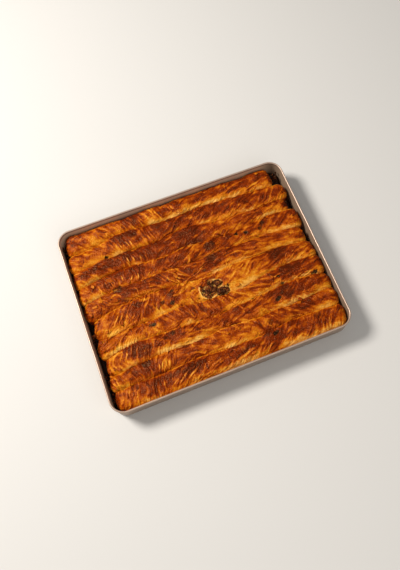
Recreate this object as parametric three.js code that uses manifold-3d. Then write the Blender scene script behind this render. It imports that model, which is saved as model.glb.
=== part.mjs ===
// A baked meat borek in its rectangular aluminium pan: ten long filled pastry rolls lie side by
// side, pressed against each other, and a pinch of the minced meat filling marks the middle.
// Millimetres, +Z up. X runs along the rolls, +Y points to the first roll, and the origin is the
// middle of the pan's underside.
import * as THREE from "three";
import { mergeVertices } from "three/addons/utils/BufferGeometryUtils.js";
import Module from "manifold-3d";

// ---- Pan: thin sheet, slightly flared walls, rolled bead round the rim ----
const PAN_LENGTH = 400;
const PAN_WIDTH = 320;
const PAN_HEIGHT = 42;
const SHEET = 1.2;
const WALL_FLARE = 2.2; // how much further in each wall stands at the floor than at the rim
const RIM_CORNER_RADIUS = 24;
const BEAD_RADIUS = 1.5;
const FLOOR_BEND_RADIUS = 5; // outside radius of the bend between floor and wall
const CORNER_STEPS = 6;
const BEND_STEPS = 3;
const BEAD_STEPS = 4; // over the bead's upper half

// ---- Rolls ----
const ROLL_COUNT = 10;
const TOUCH_GAP = 0.3; // clearance between pieces that touch in the real food
const FIRST_SEAM_Y = 123.5; // mean place of the seam between rolls 1 and 2
const SEAM_PITCH = 30.2;
const FIRST_SIDE_Y = 153.8; // outer side of the first roll
const LAST_SIDE_Y = -155.3; // outer side of the last roll
const CROWN_Z = 34.6; // mean height of a roll's top
const CROWN_WAVE = 1.1; // how far the tops rise and fall along a roll
const WALL_SIDE_DEPTH = 12; // fall from the crown to the edge that faces the pan's wall
const CROWN_EXPONENT = 2.3; // 2 is an ellipse; more is fuller at the shoulders
const CORE_Z = 13; // height of a roll's own axis, about which its ends close
const END_RADIUS = 11;
const END_WIDTH_SHARE = 0.68; // a roll's width at its tip, as a share of its full width
const END_HEIGHT_SHARE = 0.62;
const BOTTOM_CHAMFER_WIDTH = 4.5;
const BOTTOM_CHAMFER_HEIGHT = 5;
const SEAM_SPAN = 190; // the seam values below are evenly spaced from -SEAM_SPAN to +SEAM_SPAN
const SHARED_REACH = 162; // sections from -SHARED_REACH to +SHARED_REACH line up on all rolls
const SHARED_STEPS = 21;
const CROWN_STEPS = 8;

// How far each seam strays from its even place, in mm towards +Y, at nine places along the pan,
// and how deep its groove lies below the crowns at the left end, the middle and the right end.
const SEAMS = [
  { stray: [-6, -3, 5.5, 2, 0.5, 3.5, 0, -3.5, -6.5], depth: [8, 9, 8] },
  { stray: [-6.5, -2.5, -0.5, -1.5, 6, -1, -5, -5, -4.5], depth: [8, 7, 8] },
  { stray: [-6.5, 1, 2.5, -2, 0.5, -2, -1, 5.5, 1.5], depth: [9, 4.5, 8] },
  { stray: [-3.5, 1, 2, 2, 3, 4, 4, 2.5, -3], depth: [7, 4, 9] },
  { stray: [-5.5, 2, 7, 5.5, -1, 3, 4.5, 4, -1], depth: [8, 4, 8] },
  { stray: [-13, -8, -6.5, -4, -9, -9.5, -2.5, 3, -0.5], depth: [8, 5, 8] },
  { stray: [-10.5, -3, -3.5, -6, -6.5, -5, -1, 3, -3.5], depth: [9, 3.5, 9] },
  { stray: [-10, -7, -3.5, -5, -2, -4, -4.5, -3, -1], depth: [9, 6, 8] },
  { stray: [-3.5, -3.5, -2, -1, -4.5, -3.5, 1.5, 1, -1], depth: [8, 6, 7] },
];

// Where each roll starts and ends along X.
const ROLL_ENDS = [
  [-187, 175],
  [-192, 190],
  [-192, 181],
  [-192, 192],
  [-191, 187],
  [-184, 192],
  [-189, 192.5],
  [-185, 192.5],
  [-188, 192],
  [-187, 192],
];

// ---- Meat mark: a heap of minced meat set into rolls 6 and 7 ----
const MARK = { x: 12, y: -24 };
// The clumps that make up the heap, as ellipses: middle x and y, half length, half width.
const CLUMPS = [
  [13, -12.5, 8, 6.5],
  [24, -17.5, 5.5, 7],
  [2.5, -25.5, 10.5, 9.5],
  [26.5, -32, 11, 7.5],
  [13, -24.5, 8, 9],
];
const MARK_TOP_Z = 35.4;
const MARK_EDGE_Z = 31.2;
const MARK_BOTTOM_Z = 28.6;
const MARK_LUMP = 0.5;
const MARK_STEPS = 36;
const MARK_RINGS = [0.92, 0.7, 0.38]; // shares of the heap's half size
const MARK_UNDER_SHARE = 0.62;
const DENT_DEPTH = 2.4; // the pastry dips round the mark
const DENT_HALF_LENGTH = 38;
const DENT_HALF_WIDTH = 22;

const COLOURS = { pan: 0xb9b1aa, pastry: 0xc0702a, meat: 0x4a2413 };

// A closed mesh from rings of points: every ring has the same number of points, runs the same way
// round, and is joined to the next one; the first and last are closed by a fan from their middle.
function loft(rings) {
  const size = rings[0].length;
  const points = rings.flat();
  const faces = [];
  for (let r = 0; r + 1 < rings.length; r++) {
    for (let i = 0; i < size; i++) {
      const a = r * size + i;
      const b = r * size + ((i + 1) % size);
      faces.push(a, b, b + size, a, b + size, a + size);
    }
  }
  const lastStart = (rings.length - 1) * size;
  for (const [start, forward] of [
    [0, false],
    [lastStart, true],
  ]) {
    const middle = points.length;
    const ring = points.slice(start, start + size);
    points.push(ring.reduce((sum, p) => sum.add(p), new THREE.Vector3()).divideScalar(size));
    for (let i = 0; i < size; i++) {
      const a = start + i;
      const b = start + ((i + 1) % size);
      faces.push(middle, forward ? a : b, forward ? b : a);
    }
  }
  const geometry = new THREE.BufferGeometry().setFromPoints(points);
  geometry.setIndex(faces);
  return geometry;
}

function named(name, geometry, material) {
  geometry.computeVertexNormals();
  const mesh = new THREE.Mesh(geometry, material);
  mesh.name = name;
  return mesh;
}

// ---- Pan ----

// The rim's outline moved inwards by `inset`, at height z, counter-clockwise from above.
function panRing(inset, z) {
  const radius = RIM_CORNER_RADIUS - inset;
  const cornerX = PAN_LENGTH / 2 - RIM_CORNER_RADIUS;
  const cornerY = PAN_WIDTH / 2 - RIM_CORNER_RADIUS;
  const ring = [];
  for (const [quarter, signX, signY] of [
    [0, 1, 1],
    [1, -1, 1],
    [2, -1, -1],
    [3, 1, -1],
  ]) {
    for (let i = 0; i <= CORNER_STEPS; i++) {
      const angle = ((quarter + i / CORNER_STEPS) * Math.PI) / 2;
      ring.push(
        new THREE.Vector3(
          signX * cornerX + radius * Math.cos(angle),
          signY * cornerY + radius * Math.sin(angle),
          z,
        ),
      );
    }
  }
  return ring;
}

function evenly(from, to, steps) {
  return Array.from({ length: steps + 1 }, (_, i) => from + ((to - from) * i) / steps);
}

// An arc in the plane of a wall's section, as [inset, z] pairs: angle 0 points out of the pan and
// a quarter turn points up.
function sectionArc(inset, z, radius, angles) {
  return angles.map((angle) => [inset - radius * Math.cos(angle), z + radius * Math.sin(angle)]);
}

function makePan() {
  const wallInset = BEAD_RADIUS + WALL_FLARE; // the sheet's middle, at the floor bend
  const bendInset = wallInset - SHEET / 2 + FLOOR_BEND_RADIUS;
  const bend = (radius, angles) => sectionArc(bendInset, FLOOR_BEND_RADIUS, radius, angles);
  const quarter = Math.PI / 2;
  const beadStart = -Math.acos(SHEET / 2 / BEAD_RADIUS);
  const beadAngles = [beadStart, ...evenly(0, Math.PI, BEAD_STEPS), Math.PI - beadStart];
  const section = [
    ...bend(FLOOR_BEND_RADIUS, evenly(-quarter, 0, BEND_STEPS)),
    ...sectionArc(BEAD_RADIUS, PAN_HEIGHT - BEAD_RADIUS, BEAD_RADIUS, beadAngles),
    ...bend(FLOOR_BEND_RADIUS - SHEET, evenly(0, -quarter, BEND_STEPS)),
  ];
  return loft(section.map(([inset, z]) => panRing(inset, z)));
}

// ---- Rolls ----

// A smooth value through `values`, evenly spaced over -1..1.
function smoothValue(values, at) {
  const place = THREE.MathUtils.clamp((at + 1) / 2, 0, 1) * (values.length - 1);
  const index = Math.min(Math.floor(place), values.length - 2);
  const value = (i) => values[THREE.MathUtils.clamp(i, 0, values.length - 1)];
  const [p, a, b, q] = [-1, 0, 1, 2].map((step) => value(index + step));
  const t = place - index;
  const slopeA = (b - p) / 2;
  const slopeB = (q - a) / 2;
  const bend = 2 * a + slopeA - 2 * b + slopeB;
  const lift = -3 * a - 2 * slopeA + 3 * b - slopeB;
  return ((bend * t + lift) * t + slopeA) * t + a;
}

// The outer side of the first or last roll, which runs along the wall at `side` and then round
// the corner.
function wallSide(side, x) {
  const cornerX = PAN_LENGTH / 2 - RIM_CORNER_RADIUS;
  const cornerY = PAN_WIDTH / 2 - RIM_CORNER_RADIUS;
  const radius = Math.abs(side) - cornerY;
  const past = Math.min(Math.max(Math.abs(x) - cornerX, 0), radius);
  return Math.sign(side) * (cornerY + Math.sqrt(radius * radius - past * past));
}

// Seam `index` is the one after roll `index`; 0 and ROLL_COUNT are the sides by the pan's walls.
function seam(index, x) {
  if (index === 0) return { y: wallSide(FIRST_SIDE_Y, x), depth: WALL_SIDE_DEPTH };
  if (index === ROLL_COUNT) return { y: wallSide(LAST_SIDE_Y, x), depth: WALL_SIDE_DEPTH };
  const { stray, depth } = SEAMS[index - 1];
  const at = x / SEAM_SPAN;
  return {
    y: FIRST_SEAM_Y - SEAM_PITCH * (index - 1) + smoothValue(stray, at),
    depth: smoothValue(depth, at),
  };
}

// The uneven height of a roll's top: two slow waves, out of step from roll to roll.
function crownHeight(index, x) {
  const slow = Math.sin(x / 34 + 2.1 * index);
  const quick = Math.sin(x / 15.5 + 3.7 * index);
  return CROWN_Z + CROWN_WAVE * (0.62 * slow + 0.38 * quick);
}

function dent(x, y) {
  const along = (x - MARK.x) / DENT_HALF_LENGTH;
  const across = (y - MARK.y) / DENT_HALF_WIDTH;
  return DENT_DEPTH * Math.exp(-2 * (along * along + across * across));
}

// One section of roll `index` at x, scaled about the roll's axis by its share of full size there.
function rollRing(index, x, widthShare, heightShare) {
  const north = seam(index - 1, x);
  const south = seam(index, x);
  const middle = (north.y + south.y) / 2;
  const half = (north.y - south.y - TOUCH_GAP) / 2;
  const bottom = SHEET + TOUCH_GAP;
  const crown = crownHeight(index, x);
  const section = [
    [-half, bottom + BOTTOM_CHAMFER_HEIGHT],
    [BOTTOM_CHAMFER_WIDTH - half, bottom],
    [half - BOTTOM_CHAMFER_WIDTH, bottom],
    [half, bottom + BOTTOM_CHAMFER_HEIGHT],
  ];
  const power = 2 / CROWN_EXPONENT;
  for (let i = 0; i <= CROWN_STEPS; i++) {
    const angle = (Math.PI * i) / CROWN_STEPS;
    const across = Math.sign(Math.cos(angle)) * Math.abs(Math.cos(angle)) ** power;
    const rise = Math.abs(Math.sin(angle)) ** power;
    const depth = across > 0 ? north.depth : south.depth;
    const top = crown - depth * (1 - rise) - dent(x, middle + across * half);
    section.push([across * half, top]);
  }
  return section.map(
    ([y, z]) => new THREE.Vector3(x, middle + y * widthShare, CORE_Z + (z - CORE_Z) * heightShare),
  );
}

// How full the roll is at a distance from its end: 0 at the tip, 1 from END_RADIUS inwards.
function endFullness(distance) {
  const left = 1 - Math.min(distance / END_RADIUS, 1);
  return Math.sqrt(1 - left * left);
}

function makeRoll(index) {
  const [start, end] = ROLL_ENDS[index - 1];
  const endSteps = [0, 0.08, 0.3, 0.65, 1].map((share) => share * END_RADIUS);
  const stations = [
    ...endSteps.map((step) => start + step),
    ...evenly(-SHARED_REACH, SHARED_REACH, SHARED_STEPS),
    ...endSteps.reverse().map((step) => end - step),
  ];
  const rings = stations.map((x) => {
    const full = endFullness(Math.min(x - start, end - x));
    return rollRing(
      index,
      x,
      END_WIDTH_SHARE + (1 - END_WIDTH_SHARE) * full,
      END_HEIGHT_SHARE + (1 - END_HEIGHT_SHARE) * full,
    );
  });
  return loft(rings);
}

// ---- Meat mark ----

// How far a ray from the heap's middle runs before it leaves a clump; 0 if it misses.
function clumpReach([x, y, halfLength, halfWidth], angle) {
  const toX = (MARK.x - x) / halfLength;
  const toY = (MARK.y - y) / halfWidth;
  const stepX = Math.cos(angle) / halfLength;
  const stepY = Math.sin(angle) / halfWidth;
  const a = stepX * stepX + stepY * stepY;
  const b = toX * stepX + toY * stepY;
  const c = toX * toX + toY * toY - 1;
  const inside = b * b - a * c;
  return inside > 0 ? Math.max((Math.sqrt(inside) - b) / a, 0) : 0;
}

// The heap's uneven outline, as its reach from the middle in even steps round.
const markReach = (() => {
  const rough = evenly(0, 2 * Math.PI, MARK_STEPS)
    .slice(0, MARK_STEPS)
    .map((angle) => Math.max(...CLUMPS.map((clump) => clumpReach(clump, angle))));
  const at = (i) => rough[(i + MARK_STEPS) % MARK_STEPS];
  return rough.map((reach, i) => 0.5 * reach + 0.25 * (at(i - 1) + at(i + 1)));
})();

// A ring of the heap at a share of its size, with `lump` of unevenness in height, grown outwards
// by `clearance`.
function markRing(share, z, { lump = 0, clearance = 0 } = {}) {
  return markReach.map((reach, i) => {
    const angle = (2 * Math.PI * i) / MARK_STEPS;
    const out = share * reach + clearance;
    return new THREE.Vector3(
      MARK.x + out * Math.cos(angle),
      MARK.y + out * Math.sin(angle),
      z + lump * Math.sin(4 * angle + 9 * share),
    );
  });
}

function makeMark() {
  const rise = MARK_TOP_Z - MARK_LUMP - MARK_EDGE_Z;
  return loft([
    markRing(MARK_UNDER_SHARE, MARK_BOTTOM_Z),
    markRing(1, MARK_EDGE_Z),
    ...MARK_RINGS.map((share) =>
      markRing(share, MARK_EDGE_Z + rise * (1 - share * share), { lump: MARK_LUMP }),
    ),
  ]);
}

// What is taken out of the pastry for the heap: its underside with clearance, open upwards.
function makeSeat() {
  const clearance = TOUCH_GAP;
  return loft([
    markRing(MARK_UNDER_SHARE, MARK_BOTTOM_Z - clearance, { clearance }),
    markRing(1, MARK_EDGE_Z - clearance, { clearance }),
    markRing(1, PAN_HEIGHT, { clearance }),
  ]);
}

// ---- Cutting the mark's seat into the pastry ----
const wasm = await Module();
wasm.setup();

function toSolid(geometry) {
  const bare = new THREE.BufferGeometry();
  bare.setAttribute("position", geometry.getAttribute("position"));
  bare.setIndex(geometry.index);
  const merged = mergeVertices(bare);
  return new wasm.Manifold(
    new wasm.Mesh({
      numProp: 3,
      vertProperties: merged.attributes.position.array,
      triVerts: new Uint32Array(merged.index.array),
    }),
  );
}

function toGeometry(solid) {
  const mesh = solid.getMesh();
  const geometry = new THREE.BufferGeometry();
  geometry.setAttribute("position", new THREE.BufferAttribute(mesh.vertProperties, 3));
  geometry.setIndex(new THREE.BufferAttribute(mesh.triVerts, 1));
  return geometry;
}

// ---- The whole ----
const borek = new THREE.Group();
const panMetal = new THREE.MeshStandardMaterial({
  color: COLOURS.pan,
  roughness: 0.38,
  metalness: 1,
});
const pastry = new THREE.MeshStandardMaterial({ color: COLOURS.pastry, roughness: 0.5 });
const meat = new THREE.MeshStandardMaterial({ color: COLOURS.meat, roughness: 0.55 });

borek.add(named("pan", makePan(), panMetal));

const seat = toSolid(makeSeat());
for (let index = 1; index <= ROLL_COUNT; index++) {
  const roll = toSolid(makeRoll(index)).subtract(seat);
  borek.add(named(`roll_${String(index).padStart(2, "0")}`, toGeometry(roll), pastry));
}

borek.add(named("meat_mark", makeMark(), meat));

export default borek;
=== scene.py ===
"""A meat borek baked in its aluminium pan: the pan, ten browned rolls and a mark of minced meat.

Lengths are in millimetres in the frame of the part, but materials, lights and the camera take
metres. X runs along the rolls, +Y points to roll 1, +Z is up.
"""

import math

import bmesh
import bpy
import numpy as np
from mathutils import Euler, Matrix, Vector


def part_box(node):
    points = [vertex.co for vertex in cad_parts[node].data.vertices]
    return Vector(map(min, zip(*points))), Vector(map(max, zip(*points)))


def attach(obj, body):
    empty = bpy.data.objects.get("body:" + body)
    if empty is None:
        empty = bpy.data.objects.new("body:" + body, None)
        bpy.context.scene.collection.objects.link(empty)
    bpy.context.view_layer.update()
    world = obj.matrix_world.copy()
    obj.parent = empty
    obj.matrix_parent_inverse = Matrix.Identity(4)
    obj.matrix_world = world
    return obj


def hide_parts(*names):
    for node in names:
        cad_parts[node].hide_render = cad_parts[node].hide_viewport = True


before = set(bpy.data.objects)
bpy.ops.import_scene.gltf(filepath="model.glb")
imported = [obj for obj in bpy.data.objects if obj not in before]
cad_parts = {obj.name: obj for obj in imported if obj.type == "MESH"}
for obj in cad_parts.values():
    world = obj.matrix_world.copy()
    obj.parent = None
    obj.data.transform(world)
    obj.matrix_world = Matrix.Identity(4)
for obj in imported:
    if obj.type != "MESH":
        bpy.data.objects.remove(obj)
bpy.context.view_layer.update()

MM = 0.001
BODY = "root"

# ---- Pan: the same section as the CAD pan's, with finer steps ----
PAN_LOW, PAN_HIGH = (np.array(corner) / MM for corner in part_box("pan"))
PAN_HALF = (PAN_HIGH - PAN_LOW)[:2] / 2
PAN_HEIGHT = PAN_HIGH[2]
SHEET = 1.2
WALL_FLARE = 2.2
RIM_CORNER_RADIUS = 24.0
BEAD_RADIUS = 1.5
FLOOR_BEND_RADIUS = 5.0
CORNER_STEPS = 20
SIDE_STEPS = 30
DENT = 0.5
STAIN_AND_SHADE_TOP = 9  # mean height of the baked-on stain and painted shade along the foot of the wall
EAST_PAINTED_REFLECTION = 0.64  # strength of the painted reflection that darkens the east wall

# ---- Rolls ----
ROLL_COUNT = 10
CROWN_EXPONENT = 2.3
UNDERSIDE_EXPONENT = 4.0
TOUCH = 0.35  # how far neighbouring rolls press into each other's gap
WALL_CLEARANCE = 0.25
SEAM_WANDER = 1.7
STATIONS = 480  # rings along a roll
TOP_STEPS = 62
UNDER_STEPS = 8
CAP_SHARES = (0.97, 0.9, 0.78, 0.6, 0.35, 0.1)
CAP_BULGE = 2.2
CAP_REACH = 14  # how much further the crust's pattern runs over a roll's closed end

# Browned (+) and golden (-) stretches of each roll: middle x, half length, strength.
BROWNING = [
    [(-168, 18, .3), (-136, 22, -.35), (-80, 24, .35), (-102, 11, -.2), (-38, 14, -.4),
     (4, 10, .4), (20, 9, -.3), (60, 20, .1), (128, 38, .35)],
    [(-160, 40, -.3), (-95, 25, .6), (-30, 30, .6), (40, 38, .5), (112, 28, .5), (150, 15, .2)],
    [(-135, 35, .6), (-100, 25, .5), (-70, 14, .3), (-40, 45, .55), (10, 22, .75), (72, 18, -.3),
     (135, 40, .15), (165, 12, -.3)],
    [(-180, 18, -.1), (-140, 30, .45), (-95, 25, .45), (-40, 30, .55), (33, 12, .4), (60, 11, .5),
     (160, 24, .2)],
    [(-125, 18, .5), (-75, 30, .35), (-40, 9, -.2), (-20, 12, .35), (25, 24, .7), (60, 15, .25),
     (100, 11, .3), (165, 22, -.15)],
    [(-168, 18, -.4), (-110, 20, .4), (-80, 10, -.3), (-60, 14, .45), (-20, 22, -.5), (46, 22, -.3),
     (75, 20, -.5), (133, 27, .75), (178, 12, -.3)],
    [(-170, 14, -.25), (-140, 12, -.5), (-92, 22, -.15), (-70, 12, -.1), (-40, 14, .3),
     (60, 35, -.3), (140, 42, .65), (180, 9, -.3)],
    [(-178, 10, -.4), (-162, 9, -.4), (-135, 24, .8), (-75, 20, .3), (-30, 30, -.2), (20, 18, .35),
     (70, 14, -.25), (125, 40, .7)],
    [(-185, 12, -.2), (-162, 9, -.3), (-140, 26, .6), (-100, 10, -.3), (-60, 14, .3),
     (20, 9, .1), (2, 12, -.4), (42, 10, -.5), (72, 16, -.05), (140, 25, .5), (178, 12, -.2)],
    [(-175, 18, -.2), (-125, 28, .45), (-70, 25, .45), (0, 35, .5), (67, 15, .5),
     (105, 25, .3), (150, 30, .25)],
]

# How golden each roll's south flank is along its seam: middle x, half length, strength.
FLANKS = [
    [(-62, 10, -.4), (-40, 12, .35), (-10, 18, .4), (85, 80, .5), (128, 14, -.35)],
    [(-160, 30, .1), (-112, 16, .3), (-15, 26, -.2), (18, 10, -.4), (36, 10, .4), (62, 24, .15),
     (120, 25, .3)],
    [(-165, 20, .3), (-118, 15, -.2), (-90, 18, .2), (-60, 12, -.2), (10, 40, -.5), (66, 26, -.5),
     (148, 18, .5)],
    [(-175, 22, .35), (-130, 12, -.1), (-85, 20, -.25), (-10, 40, -.35), (62, 12, -.5), (100, 30, .1),
     (158, 28, .5)],
    [(-170, 26, -.4), (-110, 20, -.1), (-20, 28, -.35), (30, 16, .5), (75, 30, .3), (100, 9, -.2),
     (150, 40, .15)],
    [(-183, 9, -.7), (-150, 24, .2), (-110, 14, -.25), (-78, 12, .35), (-42, 13, -.3), (65, 30, .4),
     (150, 45, .2)],
    [(-150, 36, .5), (-74, 18, -.4), (-42, 9, .4), (-12, 20, -.5), (70, 30, .25), (110, 14, .15),
     (155, 30, .4)],
    [(-183, 9, -.4), (-150, 20, .2), (-85, 22, .7), (-42, 14, .6), (14, 30, -.5), (60, 14, -.25),
     (130, 48, .42)],
    [(-172, 18, .1), (-92, 34, -.75), (-40, 12, -.4), (2, 12, .5), (30, 14, .2), (72, 24, -.75),
     (165, 22, .3)],
    [(-180, 14, -.5), (-136, 18, .45), (-98, 10, -.1), (-60, 30, .25), (10, 34, .5), (62, 10, -.1),
     (105, 34, .5), (160, 30, .5)],
]

# Scorched spots: x, y, radius, strength, depth of the dip.
SCORCHES = [
    (-132, 94.5, 2.4, 1, 1.6), (81, 53.5, 2.6, 1, .4), (97, 50.5, 3, 1, .4), (130, 58, 3.4, .8, .2),
    (126, 54, 2.4, .6, .2), (122, 49.5, 3, .8, .2), (32, 51, 7, .6, .2), (28, 30, 7, .5, .3),
    (-133, 33, 6, .6, .3), (-128, 36, 3, .8, .3), (-125, 12.5, 4, .4, .2), (-58, -20.5, 3.2, .9, .4),
    (-52, -1, 2.6, .8, .4), (-73, -14, 3.4, .7, .3), (-98, -44.5, 3.2, 1, .5), (-103, -43, 2.4, .8, .4),
    (117, -41.5, 2.2, 1, .3), (177, -55, 3, 1, .6), (172, -55.5, 2.2, .9, .5), (119, -54, 2.2, .9, .3),
    (64, -61, 2, .8, .3), (100, -78, 3, 1, .6), (104, -76, 3, 1, .6), (-74, -68, 3.6, .8, .3),
    (-88, -71.5, 3, .5, .3), (-125, -78, 9, .3, .1), (-129, -100, 6, .5, .2), (75, -108, 4, .5, .2),
    (130, -4, 11, .35, .2), (135, -36, 10, .25, .2), (120, -72, 9, .35, .2), (75, -128.5, 3.2, 1, .5),
    (79, -127, 2.4, .9, .5), (-58, -129, 8, .25, .3), (-75, -131.5, 5, .4, .2), (20, -136, 5, .4, .2),
    (150, -126.5, 5, .35, .2), (9, 13, 3, .5, .3), (-79, 114, 5, .3, .1), (-70, 139, 6, .3, .1),
]

# Direction of the wrinkles, in degrees from +X: x, y, direction.
FIBRES = [
    (-150, 142, -48), (-50, 142, -62), (60, 142, 20), (150, 142, 12),
    (-150, 112, -30), (-90, 112, -66), (0, 112, 25), (100, 112, 30), (170, 112, 50),
    (-150, 82, -22), (-95, 82, -72), (0, 82, 22), (120, 82, 15),
    (-150, 54, -60), (-100, 52, 72), (-20, 50, 35), (80, 56, 25), (150, 56, 40),
    (-160, 22, -35), (-100, 26, -8), (-40, 24, -50), (30, 20, 12), (90, 22, -10), (160, 20, -20),
    (-150, -6, 52), (-90, -6, 60), (-30, -6, 22), (20, 0, 24), (70, -8, 34), (130, -8, 22),
    (-150, -38, 30), (-80, -38, -60), (0, -44, -70), (70, -38, -28), (140, -38, 10),
    (-140, -70, 72), (-60, -68, 15), (30, -70, 24), (120, -68, 28),
    (-150, -100, -60), (-110, -98, 64), (-40, -98, -20), (50, -98, -40), (130, -98, -35),
    (-140, -132, 66), (-70, -132, 36), (0, -132, 24), (60, -132, 42), (130, -132, 58),
]

# Places with many small dark blisters: x, y, half length, half width, share.
SPECKLES = [
    (-168, 18, 26, 12, 1), (-165, -40, 18, 10, .9), (-172, -101.5, 16, 10, .6), (32, 50.5, 18, 8, .7),
    (-112, -131.5, 22, 10, .6), (-128, 29.5, 18, 6, .9), (-45, -2, 26, 8, .6), (-170, 45.5, 14, 8, .5),
    (20, 69.5, 26, 10, .4), (122, -10, 26, 9, .5), (124, -63.5, 40, 10, .4), (60, -99.5, 26, 12, .5),
    (76, -129.5, 16, 10, .8), (-130, -73.5, 24, 9, .5), (-80, -65.5, 20, 8, .6), (15, 16, 24, 8, .7),
    (120, 53.5, 30, 8, .5), (-90, 109.5, 24, 8, .4), (120, 109.5, 22, 8, .4), (0, -129.5, 40, 10, .4),
]

# Single strokes on the crust: x, y, direction in degrees, half length, half width, browner (+)
# or more golden (-).
STROKES = [
    (-47, 138, -64, 9, .9, -.45), (-38, 138, -60, 8, .8, -.4), (-31, 139, -66, 7, .8, -.35),
    (-60, 133, -70, 6, .8, -.35), (-172, 146, 30, 12, 1.2, -.35), (-152, 147, 2, 14, 1.2, -.3),
    (-140, 136, -55, 9, 1, -.35), (-131, 132, -60, 9, 1, -.3), (-119, 131, -58, 8, 1, -.3),
    (-70, 140, -80, 10, 2.5, .25), (-111, 105, -80, 6, .8, -.4), (-105, 104.5, -78, 7, .8, -.45),
    (-100, 106, -84, 7, .7, -.4), (-93, 104, -70, 7, .9, -.5), (-87, 103.5, -74, 7, .9, -.5),
    (-66, 106, -70, 5, .7, -.4), (-56, 103, -68, 6, .7, -.4), (-41, 106, -66, 5, .7, -.35),
    (-80, 115, 2, 10, 3.5, .25), (40, 107, 30, 8, .8, -.3), (58, 105, 34, 7, .8, -.3),
    (-101, 76, -82, 7, .9, -.6), (-91.5, 75, -78, 6, .8, -.5), (-80, 73.5, -84, 6, 1, -.6),
    (-70, 77, -80, 5, .7, -.35), (-46, 73, 12, 6, 1.8, -.35), (-178, 78, 42, 9, 1, -.3),
    (-150, 79, -15, 16, 3, .25), (-119, 49.5, -85, 6, .8, -.5), (-105, 43.5, 48, 6, .9, -.5),
    (-94, 43.5, 74, 7, .9, -.6), (-158, 36, -78, 6, .9, -.4), (-134, 47, -80, 6, .8, -.35),
    (-75, 42, 40, 7, .8, -.4), (-65, 44, 44, 7, .8, -.35), (-10, 46.5, 25, 11, 1.2, .4),
    (-28, 44, 28, 9, 1, .3), (-103, 20.5, -74, 7, .9, -.45), (-51, 20, -86, 7, .9, -.45),
    (-35, 16, -37, 13, 1, -.5), (-29, 20, -34, 10, .9, -.4), (-42, 12, -40, 9, .8, -.4),
    (-66, 20, 30, 5, 3, .25), (-5, 12, 20, 24, .9, -.35), (4, 18, 20, 22, .9, -.35),
    (12, 25, 19, 18, .9, -.3), (-2, 15, 20, 22, .7, .3), (8, 22, 19, 18, .7, .3),
    (-150, -16, 50, 12, 1.2, -.45), (-145, -15, 52, 12, .9, .4), (-141, -15, 50, 13, 1.1, -.45),
    (-137, -16, 53, 12, .9, .4), (-133, -17, 55, 12, 1.1, -.45), (-128, -17, 58, 11, .9, .3),
    (-93, -17, -70, 9, 1.4, .3), (-88, -17, -66, 8, 1.2, -.3), (-100, 1, -3, 15, 2.4, -.4),
    (-152, -76, 78, 6, .9, -.35), (-143, -71, 68, 8, .9, -.4), (-134, -72, 60, 6, .8, -.35),
    (-122, -76, 40, 7, .8, -.3), (-139, -77, 74, 5, 1.2, .3), (-170, -136, 84, 7, .9, .35),
    (-161, -134, 80, 8, 1, .35), (-156, -138, 76, 6, .8, -.3), (-61, -29, 5, 22, 2.2, -.4),
    (-160, -34, 10, 14, 2.5, -.7), (-158, -38, 8, 13, .7, .6), (-50, -44, -58, 8, 1.5, .3),
    (-40, -46, -56, 8, 1.2, -.3), (-30, -47, -60, 8, 1.5, .3), (-168, -62, 12, 15, 2, -.6),
    (-166, -65, 14, 15, .6, .7), (-165, -68, 15, 14, 1.5, -.4), (-111, -111, 78, 6, .9, -.45),
    (-106, -110, 70, 7, .9, -.5), (-100, -110, 80, 7, .9, -.5), (-95, -111, 72, 6, .9, -.45),
    (-89, -110, 66, 6, .8, -.35), (-182, -113, -45, 8, 1.2, -.4), (-176, -116, -42, 8, 1.2, -.35),
    (-180, -108, -48, 7, 1, .3), (-75, -118, 30, 16, 1.1, -.35), (-68, -120, 30, 16, 1, .35),
    (-62, -118, 26, 14, 1, -.3), (140, -108, -20, 14, 2, .25), (-58, -129.5, 17, 30, 3.6, .4),
    (-82, -139, 33, 26, 1.3, -.5), (-76, -140, 32, 24, 1, .35), (-70, -141, 30, 22, 1.2, -.45),
    (-56, -146, 25, 14, 1.8, -.4), (-27, -137, 19, 17, 1.8, -.45), (-22, -142, 20, 15, 1.4, .3),
    (-19, -149, 30, 5, 1.5, -.45), (-36, -149, 28, 5, 1.3, -.4), (-137, -134, 84, 9, 1.9, .3),
    (-126, -137, 78, 6, 1.3, .25), (-119, -134, 85, 8, 1.7, .35), (-107, -136, 74, 7, 1.4, .25),
    (-100, -131, 64, 8, 1.8, .35), (-131, -138, 80, 5, .9, -.35), (-113, -137, 76, 6, .9, -.35),
    (20, -136, 14, 22, 1.6, .35), (25, -141, 16, 20, 1.6, -.4), (60, -143, 28, 14, 1.5, -.4),
    (90, -142, 30, 12, 1.4, -.35), (110, -146, 28, 10, 1.5, -.4), (146, -137, 64, 10, .9, .3),
    (158, -138, 66, 12, 1, .35), (168, -139, 62, 11, .9, .3), (152, -138, 65, 10, .9, -.3),
    (163, -139, 64, 10, .9, -.3),
]

# Where the crust is smooth: x, y, half length, half width.
SMOOTH = [
    (65, -18, 34, 14), (5, -112, 30, 11), (-166, 118, 22, 11), (155, 48, 28, 11), (-172, 60, 16, 9),
    (140, 18, 40, 9), (172, -140, 18, 11), (-168, 138, 20, 9), (60, 80, 34, 9), (170, -105, 20, 10),
    (-20, -12, 18, 10), (90, -98, 26, 8), (-142, -74, 24, 10), (-152, -136, 26, 10), (125, -72, 24, 8),
    (112, -134, 26, 8), (135, -6, 24, 8), (-62, 113, 34, 9), (-58, 82, 36, 8), (-125, 80, 24, 8),
    (-70, 52, 36, 8), (-112, -135, 28, 8), (-84, -102, 26, 8),
]


# ---- Noise ----

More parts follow.
